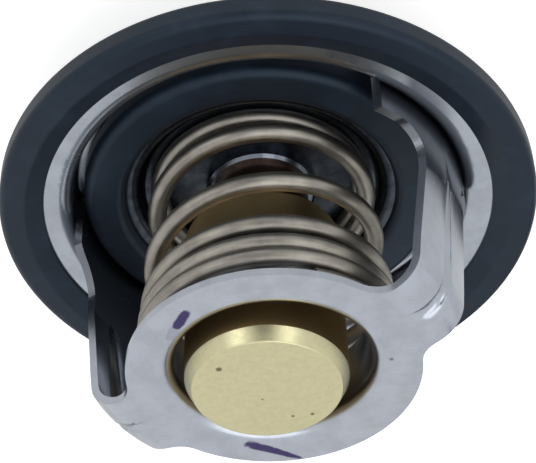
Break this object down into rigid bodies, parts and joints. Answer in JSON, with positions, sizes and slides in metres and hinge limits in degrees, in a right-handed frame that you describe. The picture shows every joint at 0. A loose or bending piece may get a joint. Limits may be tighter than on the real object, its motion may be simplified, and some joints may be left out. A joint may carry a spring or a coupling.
{
  "type": "engine thermostat",
  "caption": "Round steel flange with a rubber gasket, a sprung wax-capsule valve that slides open in a pierced frame, and a bridge on the outlet side.",
  "frame": {"origin": "middle of the part's box, on the flat crown of the upper bridge, which the part stands on", "axes": "+Z along the flange's axis towards the closed end of the wax capsule; the frame's two legs lie on the X axis and the bridge spans the Y axis"},
  "size_m": [0.054, 0.054, 0.0361],
  "materials": {
    "flange_steel": "drawn and tumbled",
    "frame_steel": "drawn, satin",
    "spring_steel": "drawn wire",
    "valve_steel": "bright",
    "pin_steel": "ground",
    "gasket_rubber": "moulded",
    "valve_rubber": "moulded",
    "inner_rubber": "moulded",
    "brass": "turned",
    "wax": "cast wax with copper powder",
    "washer_plastic": "turned"
  },
  "bodies": {
    "housing": {"flange_plate": "flange_steel", "gasket_ring": "gasket_rubber", "upper_bridge": "flange_steel", "lower_frame": "frame_steel", "main_spring": "spring_steel", "piston": "pin_steel"},
    "valve": {"valve_disc": "valve_steel", "valve_rubber": "valve_rubber", "valve_collar": "valve_steel", "retaining_clip": "valve_steel", "piston_guide": "brass", "capsule_cup": "brass", "wax_charge": "wax", "diaphragm": "inner_rubber", "rubber_plug": "inner_rubber", "plug_washer": "washer_plastic"}
  },
  "joints": [
    {"name": "valve_lift", "type": "slide", "parent": "housing", "child": "valve", "axis": [0, 0, 1], "range_m": [0, 0.008], "stiffness_N_per_m": 1500, "springref_m": -0.004, "deforming": ["main_spring"]}
  ]
}
